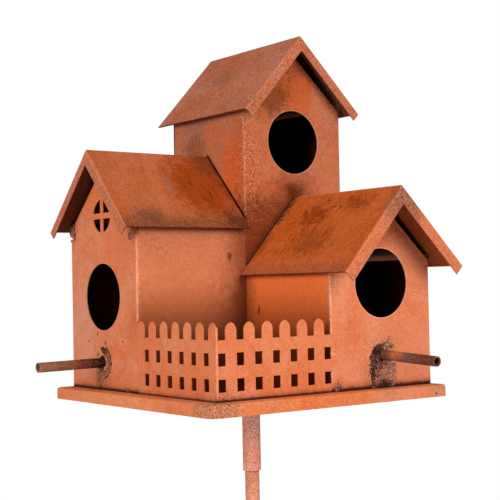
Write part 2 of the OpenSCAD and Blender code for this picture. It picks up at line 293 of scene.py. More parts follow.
def near_line_group():
    """Mask along a straight stretch, such as a fold painted lighter for wear and highlight, a dark seam, or
    a band of painted shade.
    """
    tree, given, out = new_group("near_line", (
        ("Point", "Vector", (0, 0, 0)), ("Along", "Vector", (0, 0, 1)), ("Reach", "Float", 2.0),
        ("Width", "Float", 0.002), ("Soft", "Float", 0.6), ("Ragged", "Float", 0.5)), (("Mask", "Float"),))
    bench = Bench(tree)
    place = object_place(bench)
    gone = bench.vector("DOT_PRODUCT", bench.vector("SUBTRACT", place, given["Point"]), given["Along"])
    gone = bench.math("MINIMUM", bench.math("MAXIMUM", gone, 0.0), given["Reach"])
    foot = bench.vector("ADD", given["Point"], bench.vector("MULTIPLY", given["Along"], gone))
    away = bench.math("DIVIDE", bench.vector("DISTANCE", place, foot), given["Width"])
    broken = bench.math("SUBTRACT", bench.noise(place, LINE_EDGE, 5.0, 0.75), 0.5)
    fray = bench.math("MULTIPLY", given["Ragged"], 4.0)
    away = bench.math("ADD", away, bench.math("MULTIPLY", broken, fray))
    bench.feed(out["Mask"], bench.step(away, 1.0, bench.math("SUBTRACT", 1.0, given["Soft"])))
    return tree


def round_spot_group():
    """Mask inside a stretched ball with a ragged edge, such as a stain, scorched metal, a painted shadow or
    a painted glint.
    """
    tree, given, out = new_group("round_spot", (
        ("Centre", "Vector", (0, 0, 0)), ("Stretch", "Vector", (1, 1, 1)), ("Radius", "Float", 0.01),
        ("Soft", "Float", 0.5), ("Ragged", "Float", 0.5)), (("Mask", "Float"),))
    bench = Bench(tree)
    place = object_place(bench)
    away = bench.vector("SUBTRACT", place, given["Centre"])
    away = bench.vector("LENGTH", bench.vector("DIVIDE", away, given["Stretch"]))
    away = bench.math("DIVIDE", away, given["Radius"])
    broken = bench.math("SUBTRACT", bench.noise(place, SPOT_EDGE, 6.0, 0.75), 0.5)
    fray = bench.math("MULTIPLY", given["Ragged"], 2.0)
    away = bench.math("ADD", away, bench.math("MULTIPLY", broken, fray))
    bench.feed(out["Mask"], bench.step(away, 1.0, bench.math("SUBTRACT", 1.0, given["Soft"])))
    return tree


def hole_rim_group():
    """Mask on the thin rim of a cut hole, for wear with a painted highlight, or on a ring of weld crust."""
    tree, given, out = new_group("hole_rim", (
        ("Centre", "Vector", (0, 0, 0)), ("Radius", "Float", 0.01), ("Width", "Float", 0.001)),
        (("Mask", "Float"),))
    bench = Bench(tree)
    away = bench.vector("DISTANCE", object_place(bench), given["Centre"])
    off = bench.math("ABSOLUTE", bench.math("SUBTRACT", away, given["Radius"]))
    bench.feed(out["Mask"], bench.step(bench.math("DIVIDE", off, given["Width"]), 1.0, 0.3))
    return tree


def box_shade_group():
    """Mask inside a box, full up to one height and gone at another, such as painted shade in a room or the
    yard.

    Below keeps it to faces that look down, and Edge is the share of the box over which it fades.
    """
    tree, given, out = new_group("box_shade", (
        ("Middle", "Vector", (0, 0, 0)), ("Reach", "Vector", (1, 1, 1)), ("Full At", "Float", 10.0),
        ("Gone At", "Float", 11.0), ("Below", "Float", 0.0),
        ("Edge", "Float", 0.003)), (("Mask", "Float"),))
    bench = Bench(tree)
    place = object_place(bench)
    away = bench.vector("ABSOLUTE", bench.vector("SUBTRACT", place, given["Middle"]))
    away = bench.vector("DIVIDE", away, given["Reach"])
    parts = tree.nodes.new("ShaderNodeSeparateXYZ")
    bench.feed(parts.inputs[0], away)
    most = bench.math("MAXIMUM", parts.outputs[0], parts.outputs[1])
    most = bench.math("MAXIMUM", most, parts.outputs[2])
    inside = bench.step(most, 1.0, bench.math("SUBTRACT", 1.0, given["Edge"]))
    filled = bench.step(bench.height(place), given["Gone At"], given["Full At"])
    inside = bench.math("MULTIPLY", inside, filled)
    facing = bench.height(tree.nodes.new("ShaderNodeTexCoord").outputs["Normal"])
    beside = bench.math("MULTIPLY", given["Below"], bench.step(facing, -0.6, -0.2))
    bench.feed(out["Mask"], bench.math("MULTIPLY", inside, bench.math("SUBTRACT", 1.0, beside)))
    return tree


def claw_marks_group():
    """Mask of streaks that run down a slope, in a round patch."""
    tree, given, out = new_group("claw_marks", (
        ("Centre", "Vector", (0, 0, 0)), ("Radius", "Float", 0.03)), (("Mask", "Float"),))
    bench = Bench(tree)
    place = object_place(bench)
    away = bench.math("DIVIDE", bench.vector("DISTANCE", place, given["Centre"]), given["Radius"])
    streak = bench.noise(bench.vector("MULTIPLY", place, CLAW_STREAKS), 1.0, 4.0, 0.65, 0.6)
    inside = bench.step(away, 1.0, 0.3)
    bench.feed(out["Mask"], bench.math("MULTIPLY", inside, bench.step(streak, 0.46, 0.66)))
    return tree


CLOUDS = rust_clouds_group()
GRAIN = rust_grain_group()
LINE = near_line_group()
SPOT = round_spot_group()
RIM = hole_rim_group()
SHADE = box_shade_group()
CLAWS = claw_marks_group()

# Rust colours, as paint chips, then colours of painted light and shade
SALMON = srgb(217, 132, 96)
ORANGE = srgb(206, 102, 54)
HOT_ORANGE = srgb(212, 96, 40)
BROWN = srgb(150, 76, 40)
DEEP_BROWN = srgb(112, 46, 12)
DARK_BROWN = srgb(84, 40, 22)
OCHRE = srgb(150, 68, 16)
BLACK_RUST = srgb(38, 20, 14)
GREY_RUST = srgb(140, 96, 78)
PINK = srgb(222, 164, 140)
# From here on, apart from SCORCHED, painted light and shade: wear with painted highlight on folds and rims
# (also pale specks), glints, unlit insides, lit edges, shade in the yard, along the seams and under the
# roofs, and glow
WEAR_AND_HIGHLIGHT = srgb(240, 184, 156)
GLINT = srgb(238, 226, 216)
UNLIT = srgb(20, 9, 4)
LIT_EDGE = srgb(216, 160, 128)
YARD_SHADE = srgb(76, 24, 4)
SEAM_SHADE = srgb(120, 48, 8)
UNDERSIDE_SHADE = srgb(84, 34, 14)
SCORCHED = srgb(24, 12, 8)
GLOW = srgb(126, 58, 18)


def lay(bench, colour, layers, skin=None):
    """Lays tints or marks over a colour. One that names a grain shows only on that grain."""
    for shape, values, over, strength, through in layers:
        mask = bench.math("MULTIPLY", bench.group(shape, **values)["Mask"], strength)
        if through:
            mask = bench.math("MULTIPLY", mask, skin[through])
        colour = bench.blend(mask, colour, over)
    return colour


def rust(name, light, mid, tints=(), marks=(), dark=DARK_BROWN, bloom=PINK, shift=(0, 0, 0), patches=0.5,
         grain=0.3, specks=0.4, powder=0.2, streaks=0.0, streak_scale=(60, 60, 60), streak_colour=OCHRE,
         bump=0.3, bump_mm=0.3):
    """A rusted finish: clouds of two colours, wide tints, the grain over them, then sharp marks; tints and
    marks also paint light and shade.
    """
    material = bpy.data.materials.new(name)
    material.use_nodes = True
    tree = material.node_tree
    tree.nodes.clear()
    bench = Bench(tree)
    colour = bench.group(CLOUDS, Shift=shift, Light=light, Mid=mid, Patches=patches, Streaks=streaks,
                         Streak_Scale=streak_scale, Streak_Colour=streak_colour)["Color"]
    colour = lay(bench, colour, tints)
    skin = bench.group(GRAIN, Shift=shift, Color=colour, Dark=dark, Bloom=bloom, Grain=grain, Specks=specks,
                       Powder=powder)
    colour = lay(bench, skin["Color"], marks, skin)
    shader = tree.nodes.new("ShaderNodeBsdfPrincipled")
    shader.inputs["Specular IOR Level"].default_value = 0.05
    bench.feed(shader.inputs["Base Color"], colour)
    bench.feed(shader.inputs["Roughness"], skin["Roughness"])
    lift = tree.nodes.new("ShaderNodeBump")
    lift.inputs["Strength"].default_value = bump
    lift.inputs["Distance"].default_value = bump_mm * MM
    bench.feed(lift.inputs["Height"], skin["Height"])
    bench.feed(shader.inputs["Normal"], lift.outputs["Normal"])
    ending = tree.nodes.new("ShaderNodeOutputMaterial")
    tree.links.new(shader.outputs[0], ending.inputs[0])
    return material


# Each tint or mark is a group, its values, the colour laid on, its strength and the grain it shows through
def line(point, along, width, colour, strength, soft=0.6, ragged=0.5, through=None, reach=2000):
    """A line so many millimetres wide to either side, from a point along a direction."""
    values = {"Point": point, "Along": along, "Reach": reach * MM, "Width": width * MM, "Soft": soft,
              "Ragged": ragged}
    return LINE, values, colour, strength, through


def spot(centre, radius, colour, strength, stretch=(1, 1, 1), soft=0.6, ragged=0.8, through=None):
    """A stain with its radius in millimetres, which stretch multiplies along each axis."""
    values = {"Centre": centre, "Stretch": stretch, "Radius": radius * MM, "Soft": soft, "Ragged": ragged}
    return SPOT, values, colour, strength, through


def rim(centre, radius, colour, strength, width=0.8):
    """A thin ring round a hole, in millimetres."""
    return RIM, {"Centre": centre, "Radius": radius * MM, "Width": width * MM}, colour, strength, None


def shade(low, high, colour, strength, full_at=10.0, gone_at=11.0, below=0.0, through=None,
          edge=0.003):
    """A colour inside the box between two corners, in metres."""
    middle = tuple((near + far) / 2 for near, far in zip(low, high))
    reach = tuple((far - near) / 2 for near, far in zip(low, high))
    values = {"Middle": middle, "Reach": reach, "Full_At": full_at, "Gone_At": gone_at, "Below": below,
              "Edge": edge}
    return SHADE, values, colour, strength, through


def fascia(axis, place, colour, speckle):
    """A tint for the turned-down front edge of a roof that faces along an axis, and two speckle marks."""
    low, high = [-FAR, -FAR, DECK], [FAR, FAR, CEILING]
    low[axis], high[axis] = place - SHEET, place + 1.3 * SHEET
    return (shade(low, high, colour, 0.85), shade(low, high, DARK_BROWN, speckle, through="Grit"),
            shade(low, high, WEAR_AND_HIGHLIGHT, speckle, through="Sparkle"))


def claws(centre, radius, colour, strength):
    """A round patch of streaks that run down the slope."""
    return CLAWS, {"Centre": centre, "Radius": radius * MM}, colour, strength, None


def underside(colour, strength):
    """Painted shade on the faces of a roof that look down."""
    return shade((-FAR, -FAR, DECK), (FAR, FAR, CEILING), colour, strength, below=1.0)


def speckled(centre, radius, strength, stretch=(1, 1, 1), dark=DARK_BROWN, pale=PINK, pale_share=0.8):
    """Two marks: dark grit and pale sparkle in the same ragged patch."""
    return (spot(centre, radius, dark, strength, stretch, 0.8, 0.8, "Grit"),
            spot(centre, radius, pale, strength * pale_share, stretch, 0.8, 0.8, "Sparkle"))


def dress(node, material):
    """Gives a node of the model its finish."""
    mesh = nodes[node].data
    mesh.materials.clear()
    mesh.materials.append(material)


# Painted shade in the rooms and the yard
SKIN = 0.6 * SHEET


def room(low_x, low_y, high_x, high_y):
    """Painted shade on the inside of a house, from the tray up."""
    return shade((low_x, low_y, DECK), (high_x, high_y, CEILING), UNLIT, 0.985)


left_room_shade = room(GABLE_X + SKIN, INNER_Y + SKIN, INNER_X, BACK_Y - SKIN)
right_room_shade = room(INNER_X + SKIN, GABLE_Y + SKIN, BACK_X - SKIN, INNER_Y)
tower_room_shade = room(INNER_X + SKIN, INNER_Y + SKIN, BACK_X - SKIN, BACK_Y - 0.2 * SHEET)
# Painted shade in the yard, full low down and gone higher up
yard = shade((GABLE_X + SKIN, GABLE_Y + SKIN, DECK - SKIN), (INNER_X + SKIN, INNER_Y + SKIN, DECK + 0.14),
             YARD_SHADE, 0.95, DECK + 0.030, DECK + 0.098)

# Painted light from the entries, in a thin band on the inner face of the wall behind each
FACE_IN, FACE_OUT = 1.9 * SHEET, 0.1 * SHEET


def glow(low, high, strength):
    """A soft patch of painted light in a box."""
    return shade(low, high, GLOW, strength, edge=0.9)


left_glow = glow((-0.105, BACK_Y - FACE_IN, DECK + 0.040), (-0.035, BACK_Y - FACE_OUT, DECK + 0.118), 0.6)
right_glow = glow((BACK_X - FACE_IN, GABLE_Y, DECK + 0.045), (BACK_X - FACE_OUT, -0.048, DECK + 0.118), 0.6)
tower_glow = glow((BACK_X - FACE_IN, INNER_Y, DECK + 0.175), (BACK_X - FACE_OUT, 0.067, DECK + 0.250), 0.8)

# The two house walls over the yard: a deeper orange on the right one, painted shade on the left one and in
# the corner between them
yard_wall_x = shade((INNER_X - SKIN, GABLE_Y + 0.003, DECK), (INNER_X + SKIN, INNER_Y, CEILING),
                    srgb(240, 112, 44), 0.9)
inner_corner_shade = line(TOWER_CORNER, UP, 34, DEEP_BROWN, 0.7, 1.0, 0.25)
side_wall_shade_y = shade((GABLE_X + 0.003, INNER_Y - SKIN, DECK), (INNER_X, INNER_Y + SKIN, CEILING),
                    srgb(202, 114, 72), 0.75)

# Left house
dress("left_shell", rust("left_wall_rust", SALMON, ORANGE, shift=(0.3, 0.1, 0.7), patches=0.55, tints=(
    spot(on_left(66, 188), 38, srgb(216, 104, 48), 0.7, (1, 1.3, 1)),
    spot(on_left(64, 205), 14, BROWN, 0.5),
    spot(on_left(45, 34), 18, HOT_ORANGE, 0.45, (1, 1, 0.6)),
    spot(on_left(104, 45), 42, srgb(210, 142, 114), 0.6, (1, 0.8, 1.2)),
    # Painted shade on the wall over the yard, under the eave and low down behind the fence, and in the
    # corner
    side_wall_shade_y, line(on_front(-112, 142), ALONG_X, 46, srgb(188, 106, 74), 0.6, 1.0, 0.3),
    line(on_front(-112, 60), ALONG_X, 40, srgb(190, 94, 52), 0.6, 1.0, 0.3),
    inner_corner_shade), marks=(
    # Painted shade in the yard and the room, and painted light from the entry
    yard, left_room_shade, left_glow,
    *speckled(on_front(-92, 128), 30, 0.6, (1.2, 1, 0.7), BROWN, PINK, 0.9),
    *speckled(on_front(-26, 132), 30, 0.55, (1.3, 1, 0.5), BROWN, PINK, 0.9),
    *speckled(on_left(115, 100), 20, 0.35, (1, 0.6, 2.6)),
    *speckled(on_left(114, 140), 12, 0.8, (1, 0.9, 1.2), BLACK_RUST, GLINT, 0.5),
    spot(on_left(68, 11), 17, srgb(176, 112, 84), 0.6, (0.9, 1, 1)),
    *speckled(on_left(67, 12), 19, 0.9, (0.9, 1, 1), DARK_BROWN, WEAR_AND_HIGHLIGHT, 0.6),
    # Dark patch at the near shoulder: painted shadow under the eave, with weld stain
    spot(on_left(16, 134), 7, DARK_BROWN, 0.7, (1, 0.8, 0.7)),
    spot(on_left(90.8, 42), 1.4, BLACK_RUST, 0.9),
    spot(on_left(75.2, 49.2), 1.7, BLACK_RUST, 0.9, (1, 0.7, 1.6)),
    spot(on_left(32, 43), 1.2, BLACK_RUST, 0.8),
    spot(on_left(61, 41), 2.0, BLACK_RUST, 0.7, (1, 1, 1.4)),
    spot(on_front(-15, 115), 3.4, srgb(60, 44, 34), 0.7, (1, 1, 1.6)),
    # Light fold lines and the entry's rim: wear and painted highlight
    line((GABLE_X, INNER_Y, DECK + 0.062), UP, 1.5, WEAR_AND_HIGHLIGHT, 0.45),
    line(LEFT_CORNER, UP, 1.3, BROWN, 0.6, reach=60),
    line((GABLE_X, BACK_Y, DECK), UP, 1.4, PINK, 0.5),
    line(LEFT_CORNER, ALONG_Y, 7.0, DEEP_BROWN, 0.6, 1.0, 0.2),
    line(LEFT_CORNER, ALONG_Y, 3.2, BLACK_RUST, 0.9, 0.7, 0.2),
    rim(LEFT_ENTRY, ENTRY_R, WEAR_AND_HIGHLIGHT, 0.25))))

# Right house
dress("right_shell", rust("right_wall_rust", SALMON, ORANGE, shift=(0.9, 0.4, 0.2), patches=0.5, tints=(
    spot(on_right(61, 132), 20, BROWN, 0.55, (1.2, 1, 0.8)),
    spot(on_right(72, 22), 62, srgb(206, 120, 82), 0.7, (1, 1, 0.7)),
    spot(on_right(30, 62), 30, ORANGE, 0.35, (0.5, 1, 1.2)),
    # A deeper orange on the wall over the yard, and painted shade in the inner corner
    yard_wall_x, line(TOWER_CORNER, UP, 20, DEEP_BROWN, 0.6, 1.0, 0.25)), marks=(
    # Painted shade in the yard and the room, and painted light from the entry
    yard, right_room_shade, right_glow,
    *speckled(on_right(57, 18), 28, 0.95, (0.9, 1, 1.15), BLACK_RUST, PINK, 0.5),
    spot(on_right(60, 2), 17, BLACK_RUST, 0.9, (1, 1, 0.35)),
    spot(on_right(96, 12), 15, GREY_RUST, 0.5, (1.6, 1, 0.8), through="Sparkle"),
    *speckled(on_right(38, 106), 10, 0.5, (1, 1, 1)),
    *speckled(on_right(10, 5), 6, 0.8, (1, 1, 1.4), BLACK_RUST, GLINT, 0.7),
    spot(on_inner(-11, 67), 3.2, BLACK_RUST, 0.7, (1, 0.8, 2)),
    spot(on_right(96, 66), 8, BROWN, 0.4, (1.4, 1, 1), through="Grit"),
    # Light fold lines and the entry's rim: wear and painted highlight
    line(RIGHT_CORNER, UP, 1.4, WEAR_AND_HIGHLIGHT, 0.5),
    line((BACK_X, GABLE_Y, DECK), UP, 1.4, WEAR_AND_HIGHLIGHT, 0.4),
    line(RIGHT_CORNER, ALONG_X, 9.0, DEEP_BROWN, 0.7, 1.0, 0.2),
    line(RIGHT_CORNER, ALONG_X, 4.2, BLACK_RUST, 0.95, 0.7, 0.2),
    rim(RIGHT_ENTRY, ENTRY_R, WEAR_AND_HIGHLIGHT, 0.35, 1.0))))

# Tower, with the seams where the two low roofs meet its walls, and painted shade along them
TOWER_LIGHT, TOWER_MID = srgb(184, 106, 74), srgb(184, 88, 42)
left_seam = (0, -math.cos(LEFT_PITCH), -math.sin(LEFT_PITCH))
right_seam = (-math.cos(RIGHT_PITCH), 0, -math.sin(RIGHT_PITCH))


def along_right_seam(width, colour, strength, soft, ragged):
    """A line on the tower's front, down the slope of the right roof."""
    ridge_end = (RIGHT_X, INNER_Y, RIGHT_RIDGE)
    return line(ridge_end, right_seam, width, colour, strength, soft, ragged, reach=HALF_SLOPE)


dress("tower_shell", rust("tower_wall_rust", TOWER_LIGHT, TOWER_MID, shift=(0.5, 0.8, 0.4), patches=0.5,
                          grain=0.5, specks=0.6, powder=0.15, tints=(
    spot(on_front(64, 272), 30, srgb(184, 82, 34), 0.85),
    spot(on_front(36, 264), 27, DEEP_BROWN, 0.7),
    spot(on_front(60, 300), 26, DEEP_BROWN, 0.6),
    spot(on_inner(80, 246), 40, GREY_RUST, 0.5, (1, 1, 0.5)),
    spot(on_inner(86, 220), 26, DARK_BROWN, 0.4, (1, 1, 0.6)),
    spot(on_inner(26, 188), 40, srgb(204, 92, 40), 0.85, (1, 0.6, 1.3)),
    spot(on_inner(58, 232), 18, HOT_ORANGE, 0.35),
    # Painted shade along the right roof's rear edge and between the two roofs
    along_right_seam(40, SEAM_SHADE, 0.9, 1.0, 0.3),
    spot(on_front(12, 140), 46, SEAM_SHADE, 0.85)), marks=(
    # Painted shade in the room and painted light from the entry
    tower_room_shade, tower_glow,
    *speckled(on_front(10, 205), 36, 1.0, (0.5, 1, 2.0), srgb(96, 42, 22), WEAR_AND_HIGHLIGHT, 0.75),
    *speckled(on_front(30, 160), 34, 0.6, (1, 1, 1), pale_share=0.3),
    *speckled(on_front(10, 240), 16, 0.5, (0.8, 1, 1.2), pale_share=0.5),
    *speckled(on_front(104, 240), 26, 0.6, (0.4, 1, 1.4), pale_share=0.5),
    # Painted shadow at the end of the right roof's ridge and along its rear edge, then the dark seam itself
    spot(on_front(60, 176), 19, srgb(66, 28, 12), 0.7, (1, 1, 0.6), 0.9),
    along_right_seam(8, srgb(76, 30, 6), 0.6, 1.0, 0.3),
    along_right_seam(1.8, BLACK_RUST, 0.6, 0.8, 0.6),
    # Painted shade in the gap behind the left roof and at the back corner; the pink fold lines are wear and
    # painted highlight
    line((INNER_X, LEFT_Y, LEFT_RIDGE), left_seam, 2.3, UNLIT, 0.97, 0.5, 0.1, reach=HALF_SLOPE),
    line((INNER_X, INNER_Y, DECK + 0.13), UP, 1.4, PINK, 0.2, 0.6, 0.9),
    line((INNER_X, BACK_Y, DECK), UP, 2.2, UNLIT, 0.95, 0.4, 0.1),
    line((BACK_X, INNER_Y, DECK), UP, 1.4, PINK, 0.4),
    rim(TOWER_ENTRY, ENTRY_R, WEAR_AND_HIGHLIGHT, 0.35))))
dress("tower_back", rust("tower_back_rust", TOWER_LIGHT, TOWER_MID, shift=(0.2, 0.6, 0.9), grain=0.4,
                         marks=(
    # Painted shade in the room and painted light from the left house's entry
    tower_room_shade, left_glow,
    line((BACK_X, BACK_Y, DECK), UP, 3.0, BLACK_RUST, 0.6),
    line((INNER_X, BACK_Y, DECK), UP, 3.0, BLACK_RUST, 0.6),
    line((INNER_X, BACK_Y, DECK), ALONG_X, 2.4, BLACK_RUST, 0.8))))

# Fence and tray
dress("fence", rust("fence_rust", srgb(218, 127, 87), ORANGE, shift=(0.7, 0.2, 0.1), marks=(
    # Painted shade in the yard
    yard,
    *speckled((-0.100, GABLE_Y, DECK + 0.004), 16, 0.75, (1.2, 1, 0.5)),
    *speckled((GABLE_X, -0.080, DECK + 0.004), 7, 0.8, (1, 1, 1.2), GREY_RUST, PINK),
    # Light fold line: wear and painted highlight
    line(YARD_CORNER, UP, 1.3, WEAR_AND_HIGHLIGHT, 0.25),
    line(YARD_CORNER, ALONG_Y, 6.0, DEEP_BROWN, 0.5, 1.0, 0.2),
    line(YARD_CORNER, ALONG_X, 7.0, DEEP_BROWN, 0.6, 1.0, 0.2),
    line(YARD_CORNER, ALONG_Y, 2.0, BLACK_RUST, 0.8, 0.7, 0.2),
    line(YARD_CORNER, ALONG_X, 2.6, BLACK_RUST, 0.9, 0.7, 0.2))))


def on_tray_front(x, down):
    """Point on the front of the tray's rim, from millimetres along X and down from its top."""
    return (x * MM, TRAY_CORNER.y, DECK - down * MM)


dress("base_tray", rust("tray_rust", srgb(218, 125, 80), srgb(210, 104, 50), shift=(0.1, 0.9, 0.3),
                        patches=0.7, grain=0.4, tints=(
    spot(on_tray_front(119, 4), 20, srgb(190, 124, 95), 0.85, (1.4, 1, 1)),
    spot(on_tray_front(70, 4), 40, srgb(208, 128, 92), 0.5, (1.2, 1, 1)),
    # Left face of the tray painted lighter: painted light
    spot((TRAY_CORNER.x, 0.030, DECK - 0.004), 70, srgb(232, 142, 96), 0.6, (1, 1.4, 1))), marks=(
    # Painted shade in the yard and the rooms
    yard, left_room_shade, right_room_shade, tower_room_shade,
    spot(TRAY_CORNER + Vector((0.008, 0.004, -0.004)), 22, srgb(180, 116, 88), 0.7, (1.3, 1.3, 1)),
    *speckled(TRAY_CORNER + Vector((0.010, 0.004, -0.004)), 30, 1.0, (1.3, 1.3, 1), DARK_BROWN, WEAR_AND_HIGHLIGHT),
    spot(on_tray_front(-88, 7), 9, srgb(224, 116, 52), 0.6, (1.6, 1, 0.6)),
    *speckled(on_tray_front(-75, 4), 16, 0.7, (2.4, 1, 1), GREY_RUST, PINK),
    *speckled(on_tray_front(20, 4), 30, 0.45, (4, 1, 1), BROWN, PINK),
    spot(on_tray_front(106, 7), 1.6, DARK_BROWN, 0.9),
    line(YARD_CORNER, ALONG_Y, 3.6, BLACK_RUST, 0.9, 0.9, 0.2),
    line(YARD_CORNER, ALONG_X, 4.4, BLACK_RUST, 0.95, 0.9, 0.2))))

# Front edges of the roofs
left_fascia, *left_fascia_speckle = fascia(X_AXIS, GABLE_X - LEFT_ROOF_OUT, srgb(190, 110, 76), 0.35)
right_fascia, *right_fascia_speckle = fascia(Y_AXIS, GABLE_Y - RIGHT_ROOF_OUT, srgb(198, 112, 74), 0.2)
tower_fascia, *tower_fascia_speckle = fascia(Y_AXIS, INNER_Y - TOWER_ROOF_OUT, srgb(180, 96, 62), 0.4)

# Undersides of the right and tower roofs: painted shade inside the house, painted light over the slot at
# the far wall's top
RIGHT_LOFT, TOWER_LOFT = DECK + 0.09, DECK + 0.24
EAVE_X = BACK_X + 0.007


def dim(low, high):
    """Painted shade on the underside of a roof inside a house."""
    return shade(low, high, UNLIT, 0.9, below=1.0)


def slot_light(low, high, colour, strength, wall_top, fade):
    """Painted light on a roof's underside, full at the top of the wall and gone so far above it."""
    return shade(low, high, colour, strength, wall_top - 0.006, wall_top + fade, below=1.0)


right_dim = dim((INNER_X, GABLE_Y + SHEET, RIGHT_LOFT), (BACK_X, INNER_Y, CEILING))
tower_dim = dim((INNER_X, INNER_Y + SHEET, TOWER_LOFT), (BACK_X, BACK_Y, CEILING))
right_slot_light = slot_light((RIGHT_X, GABLE_Y + 0.020, RIGHT_LOFT), (EAVE_X, INNER_Y, CEILING),
                              LIT_EDGE, 0.95, RIGHT_WALL_TOP, 0.013)
tower_slot_light = slot_light((RIGHT_X, INNER_Y + SHEET, TOWER_LOFT), (EAVE_X, BACK_Y, CEILING),
                              GLOW, 0.8, TOWER_WALL_TOP, 0.016)

# Roofs
dress("left_roof", rust("left_roof_rust", srgb(178, 98, 62), srgb(174, 84, 42), shift=(0.4, 0.5, 0.6),
                        patches=0.6, grain=0.42, specks=0.5, powder=0.1, streaks=0.3,
                        streak_scale=(120, 22, 22), tints=(
    spot(on_left_roof(-26, 44), 62, srgb(146, 57, 4), 0.97, (0.75, 1, 1), 0.6, 0.6),
    spot(on_left_roof(-10, 10), 30, srgb(124, 56, 24), 0.8, (0.8, 1, 1), 0.9, 0.7),
    claws(on_left_roof(-24, 46), 32, srgb(92, 32, 2), 0.75),
    spot(on_left_roof(-60, 39), 18, GREY_RUST, 0.45, (0.5, 1, 1), 0.9),
    spot(on_left_roof(-98, 84), 17, srgb(112, 64, 42), 0.85, (1.3, 1, 1), 0.8),
    line(on_left_roof(-150, HALF_SLOPE), ALONG_X, 26, srgb(118, 58, 30), 0.8, 1.0, 0.3),
    # Painted shadow where the roof meets the tower and the right roof, then painted shade on the underside
    spot(on_left_roof(-2, 92), 32, srgb(92, 40, 14), 0.95, (1, 1, 1), 0.9, 0.5),
    left_fascia, underside(UNDERSIDE_SHADE, 0.85)), marks=(
    *left_fascia_speckle,
    line(on_left_roof(-150, 92), ALONG_X, 14, srgb(70, 30, 12), 0.75, 1.0, 0.4, "Grit"),
    line(on_left_roof(-150, 94), ALONG_X, 12, srgb(196, 120, 84), 0.5, 1.0, 0.6, "Sparkle"),
    *speckled(on_left_roof(-124, 30), 15, 0.35, (0.5, 2.6, 2.6)),
    line((-FAR, LEFT_Y, LEFT_RIDGE), ALONG_X, 1.0, DARK_BROWN, 0.5),
    # Dark line at the eave: painted shade where the roof meets the wall
    line(on_left_roof(-125, HALF_SLOPE), ALONG_X, 1.0, DARK_BROWN, 0.6))))
RIGHT_PEAK = (RIGHT_X, GABLE_Y - RIGHT_ROOF_OUT, DECK + 0.156)
dress("right_roof", rust("right_roof_rust", srgb(192, 94, 46), srgb(182, 82, 28), shift=(0.6, 0.1, 0.5),
                         patches=0.7, grain=0.5, specks=0.5, powder=0.05, streaks=0.6,
                         streak_scale=(24, 120, 24), streak_colour=srgb(204, 100, 34), tints=(
    spot(on_right_roof(-20, 38), 44, srgb(184, 84, 22), 0.8, (1, 1.4, 1), 0.9, 1.0),
    spot(on_right_roof(-44, 26), 24, srgb(132, 50, 6), 0.85, (1, 1.3, 1), 0.9, 1.6),
    spot(on_right_roof(-92, 16), 16, srgb(136, 58, 18), 0.8, (1, 1.8, 0.6), 0.9, 1.8),
    spot(on_right_roof(-62, 62), 24, srgb(130, 58, 18), 0.7, (1, 1.8, 1), 0.9, 1.6),
    spot(on_right_roof(6, 62), 20, srgb(146, 66, 26), 0.7, (1, 0.8, 1.2), 0.9, 1.0),
    line(on_right_roof(-150, HALF_SLOPE), ALONG_Y, 20, srgb(158, 84, 56), 0.7, 1.0, 0.4),
    # Painted shade on the underside and inside the house, and painted light over the slot at the far wall
    right_fascia, underside(srgb(128, 62, 34), 0.7), right_dim, right_slot_light), marks=(
    *right_fascia_speckle,
    line(on_right_roof(-136, 93), ALONG_Y, 12, DARK_BROWN, 0.6, 1.0, 0.5, "Grit"),
    line(on_right_roof(-136, 94), ALONG_Y, 9, srgb(200, 126, 92), 0.4, 1.0, 0.5, "Sparkle"),
    spot(RIGHT_PEAK, 26, srgb(132, 84, 62), 0.7, (1.3, 0.4, 1)),
    *speckled(RIGHT_PEAK, 25, 0.9, (1.3, 0.4, 1.1), DARK_BROWN, WEAR_AND_HIGHLIGHT, 0.8),
    *speckled(on_right_roof(4, 20), 16, 0.7, (1, 0.35, 1), BLACK_RUST, PINK),
    # Ridge line painted lighter: wear and painted highlight
    line((RIGHT_X, -FAR, RIGHT_RIDGE), ALONG_Y, 1.0, PINK, 0.25),
    line(on_right_roof(4, 0), right_seam, 7, srgb(84, 34, 10), 0.85, 1.0, 0.8, reach=32),
    line(on_right_roof(3, 8), right_seam, 5, WEAR_AND_HIGHLIGHT, 0.8, 0.9, 0.8, "Sparkle", 50),
    line(on_right_roof(-137, HALF_SLOPE), ALONG_Y, 1.0, DARK_BROWN, 0.6))))
dress("tower_roof", rust("tower_roof_rust", srgb(190, 116, 88), srgb(182, 96, 58), shift=(0.8, 0.7, 0.1),
                         patches=0.6, grain=0.6, specks=0.75, powder=0.3, streaks=0.15,
                         streak_scale=(24, 120, 24), tints=(
    spot(on_tower_roof(80, 37), 18, srgb(150, 88, 66), 0.6, (1, 1.3, 1)),
    spot(on_tower_roof(-28, 40), 16, srgb(168, 106, 86), 0.6, (1, 0.8, 1)),
    spot(on_tower_roof(94, 70), 20, srgb(186, 92, 52), 0.3),
    # Painted shade on the underside and inside the house, and painted light over the slot at the far wall
    tower_fascia, underside(UNDERSIDE_SHADE, 0.8), tower_dim, tower_slot_light), marks=(
    *tower_fascia_speckle, *speckled(on_tower_roof(20, 88), 20, 0.5, (1, 3, 1)),
    line((RIGHT_X, -FAR, TOWER_RIDGE), ALONG_Y, 0.9, DARK_BROWN, 0.5),
    line(on_tower_roof(-8, HALF_SLOPE), ALONG_Y, 1.0, DARK_BROWN, 0.6))))

